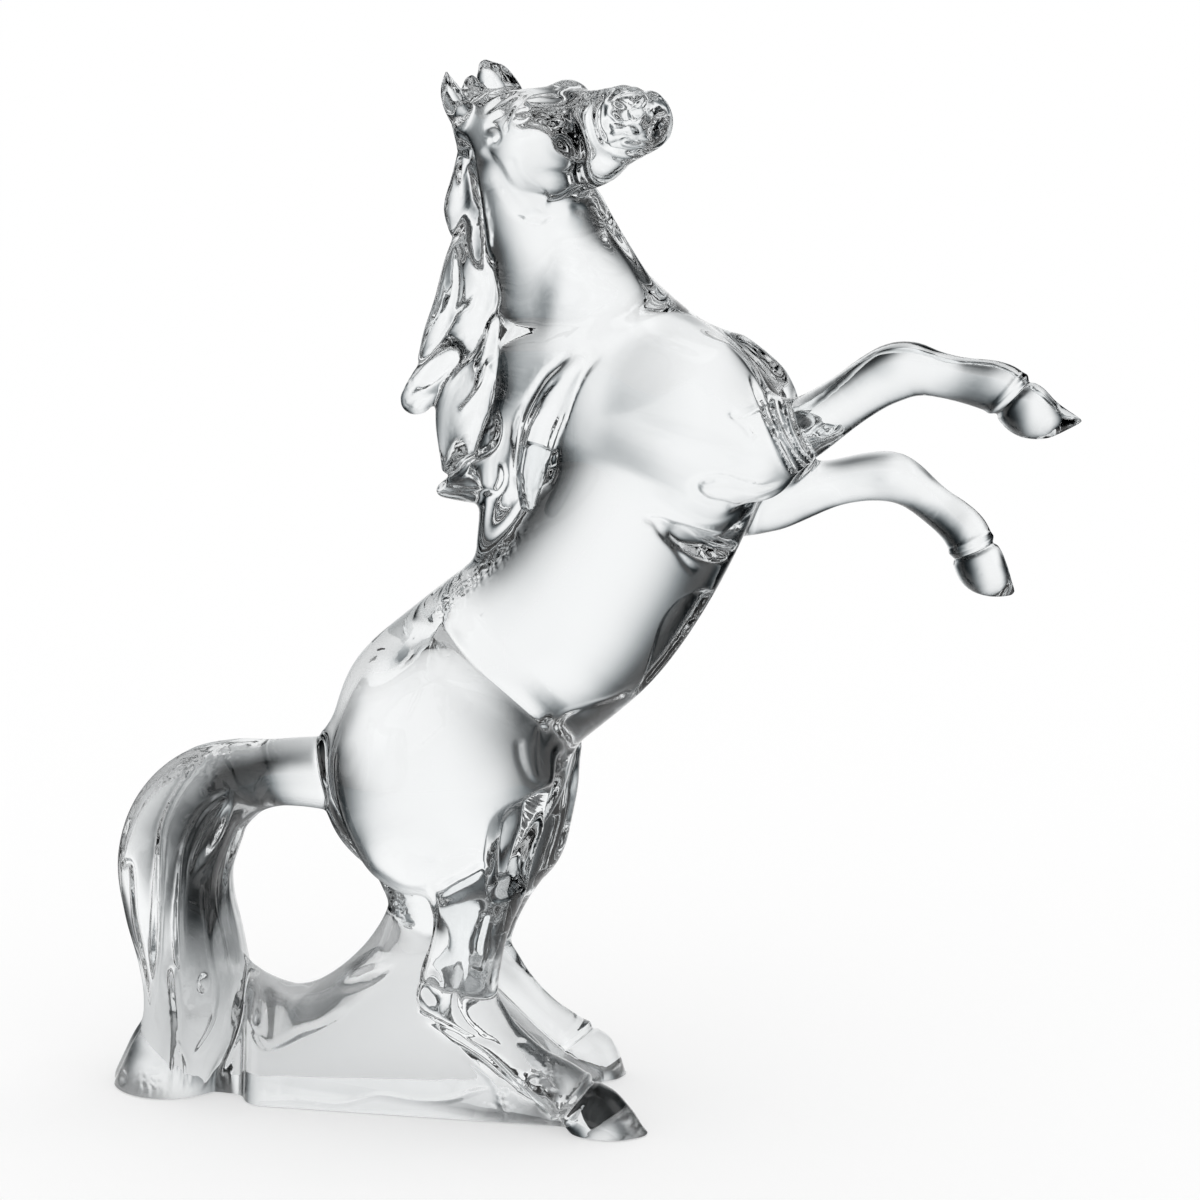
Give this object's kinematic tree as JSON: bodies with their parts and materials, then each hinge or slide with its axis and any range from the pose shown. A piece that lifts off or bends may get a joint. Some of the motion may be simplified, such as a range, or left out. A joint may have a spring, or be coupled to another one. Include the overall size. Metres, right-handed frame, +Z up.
{
  "type": "crystal horse figurine",
  "caption": "Rearing horse of clear crystal on its hind legs and tail, cast in one with the low wedge of crystal under them; an ornament for a shelf or table.",
  "frame": {"origin": "middle of the wedge's flat underside, in the plane of the table", "axes": "+X the way the horse faces, +Y its left side, +Z up"},
  "size_m": [0.3103, 0.0809, 0.3287],
  "materials": {
    "crystal": "clear, fire-polished"
  },
  "bodies": {
    "root": {"crystal_horse": "crystal"}
  },
  "joints": []
}
